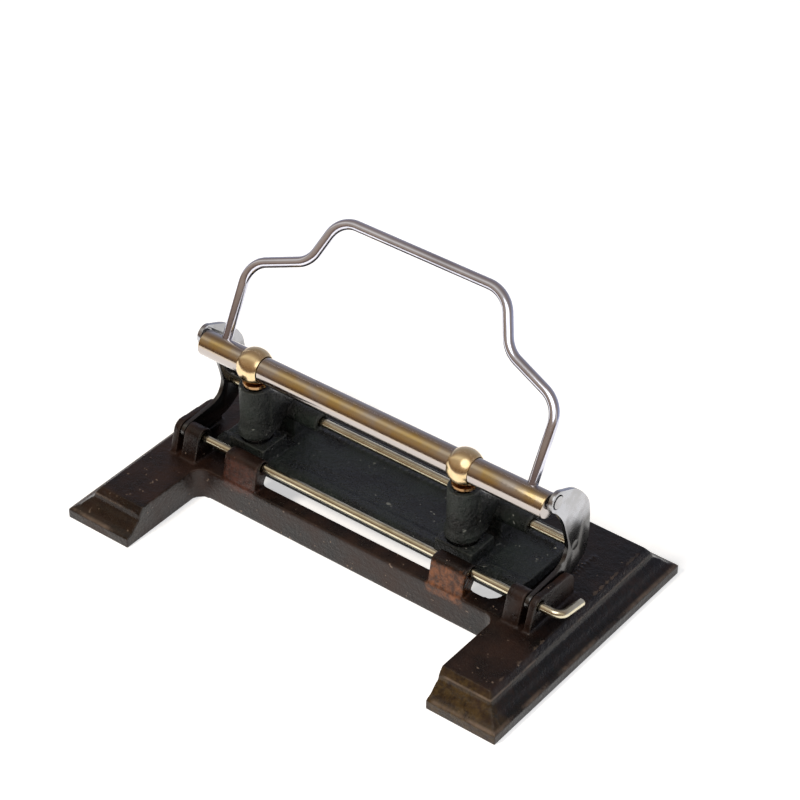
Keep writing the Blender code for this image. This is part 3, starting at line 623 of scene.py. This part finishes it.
def floor_and_world():
    """White table and room. What the camera and mirrors see is white; the light is
    softer."""
    floor = added(bpy.ops.mesh.primitive_plane_add, "floor", size=FLOOR_SIZE,
                  location=(0, 0, FLOOR_Z))
    material, tree, shader = new_material("white_paper", Roughness=0.9,
                                          Base_Color=linear(FLOOR_COLOUR),
                                          Emission_Color=linear(WHITE))
    glow = compute(tree, "MULTIPLY", background_rays(tree), FLOOR_GLOW)
    feed(tree, shader, Emission_Strength=glow)
    floor.data.materials.append(material)
    world = bpy.data.worlds.new("studio")
    bpy.context.scene.world = world
    world.use_nodes = True
    tree = world.node_tree
    background = tree.nodes["Background"]
    background.inputs["Color"].default_value = linear(WHITE)
    feed(tree, background, Strength=ramp(tree, background_rays(tree), 0.0, 1.0, ROOM_LIGHT))


def mirror_only(card, strength):
    """A glowing card of the studio, which shows in polished metal and nowhere else."""
    material, tree, shader = new_material(card.name, Base_Color=linear(BLACK),
                                          Emission_Color=linear(WHITE),
                                          Emission_Strength=strength)
    card.data.materials.append(material)
    card.visible_camera = False
    card.visible_diffuse = False
    card.visible_transmission = False
    card.visible_shadow = False
    return tree, shader


def tent():
    """Half round tent along the bar, dim at its front and brightest overhead."""
    card = added(bpy.ops.mesh.primitive_cylinder_add, "tent", vertices=ROUND_SIDES,
                 radius=TENT_RADIUS, depth=TENT_LENGTH, rotation=ALONG_X)
    edit(card)
    bpy.ops.mesh.bisect(plane_co=(0, 0, 0), plane_no=(0, 0, -1), clear_outer=True)
    leave_edit()
    tree, shader = mirror_only(card, 1.0)
    sides = axes(tree, from_bar_axis(tree))
    angle = compute(tree, "ARCTAN2", sides["Y"], sides["Z"])
    cloth = add_node(tree, "ValToRGB", "Color",
                     {"Fac": ramp(tree, angle, -TENT_SPAN, TENT_SPAN)})
    stops = cloth.node.color_ramp.elements
    while len(stops) < len(TENT_COLOURS):
        stops.new(1.0)
    for stop, (position, colour) in zip(stops, TENT_COLOURS):
        stop.position = position
        stop.color = linear(colour)
    feed(tree, shader, Emission_Color=cloth)


def flash_card():
    """Round bright card, over the machine on the camera's side, for the highlights
    on balls and wire."""
    card = added(bpy.ops.mesh.primitive_circle_add, "flash_card", vertices=ROUND_SIDES // 2,
                 radius=FLASH_RADIUS, fill_type="NGON", location=FLASH_PLACE,
                 rotation=Vector(FLASH_PLACE).to_track_quat("Z", "Y").to_euler())
    mirror_only(card, FLASH_STRENGTH)


def aim(thing):
    """Turn a lamp or the camera to the object's middle."""
    away = Vector(CAMERA_TARGET) - thing.location
    thing.rotation_euler = away.to_track_quat("-Z", "Y").to_euler()


def lamp(name, place, size, power, colour):
    """A soft rectangular lamp that faces the object and isn't mirrored in it."""
    bpy.ops.object.select_all(action="DESELECT")
    bpy.ops.object.light_add(type="AREA", location=place)
    light = named(name)
    light.data.shape = "RECTANGLE"
    light.data.size, light.data.size_y = size
    light.data.energy = power
    light.data.color = linear(colour)[:3]
    light.visible_glossy = False
    aim(light)


def camera():
    """The photograph's view."""
    bpy.ops.object.select_all(action="DESELECT")
    bpy.ops.object.camera_add(location=CAMERA_PLACE)
    view = named("camera")
    view.data.lens = CAMERA_LENS
    view.data.shift_x, view.data.shift_y = CAMERA_SHIFT
    aim(view)
    bpy.context.scene.camera = view


def paint_node(node, material):
    """Give a solid that is kept its finish."""
    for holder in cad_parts[node].material_slots:
        holder.material = material


camera()
floor_and_world()
tent()
flash_card()
for name, place, size, power, colour in LAMPS:
    lamp(name, place, size, power, colour)
bpy.context.scene.view_settings.view_transform = "Standard"

# The base gets a painted highlight on the feet's fronts, painted shade on its right side, and
# painted highlight lines on its ridges
japan = baked_japan("japanned_iron", deep="#0d0807", thin="#2b1a12", wear_and_painted_light="#7d6c5e",
                    shine=0.34, grit=0.00024, rust_and_light_patches=BASE_RUST_AND_PAINTED_LIGHT,
                    highlight_heights=RIDGE_HEIGHTS)
green_japan = baked_japan("green_black_iron", deep="#030504", thin="#1b241f",
                          wear_and_painted_light="#8a8c84", shine=0.6, grit=0.0012)
plate_steel = sheet_steel()
rod_steel = bare_steel("drawn_steel_rod", "#dcd5bb", "#ae9f79", roughness=0.2, smear=0.006)
wire_steel = bare_steel("polished_steel_wire", "#dcdeea", "#a4a4b2", roughness=0.12,
                        smear=0.009, much=0.5)
pin_steel = bare_steel("turned_tool_steel", "#b4b5b8", "#8c8a86", roughness=0.25, smear=0.004)
brass = turned_brass()
nickel = ground_nickel()

finish_piece(base_piece(), japan, "frame", "base_casting")
finish_piece(frame_piece(), green_japan, "frame", "punch_frame")
finish_piece(front_rod_piece(), rod_steel, "frame", "front_rod")
finish_piece(rear_rod_piece(), rod_steel, "frame", "rear_rod")
finish_piece(bar_piece(), nickel, "shaft", "eccentric_bar")
finish_piece(bail_piece(), wire_steel, "shaft", "bail_handle")
for side, x in zip(("left", "right"), BALL_X):
    finish_piece(plate_piece(side), plate_steel, "frame", side + "_hook_plate")
    finish_piece(ball_piece(side, x), brass, side + "_eye", side + "_ball")
    for part in ("ball_stem", "collar"):
        paint_node(side + "_" + part, brass)
    for part in ("journal", "die", "punch"):
        paint_node(side + "_" + part, pin_steel)
for number in range(1, 5):
    paint_node(f"frame_screw_{number}", pin_steel)
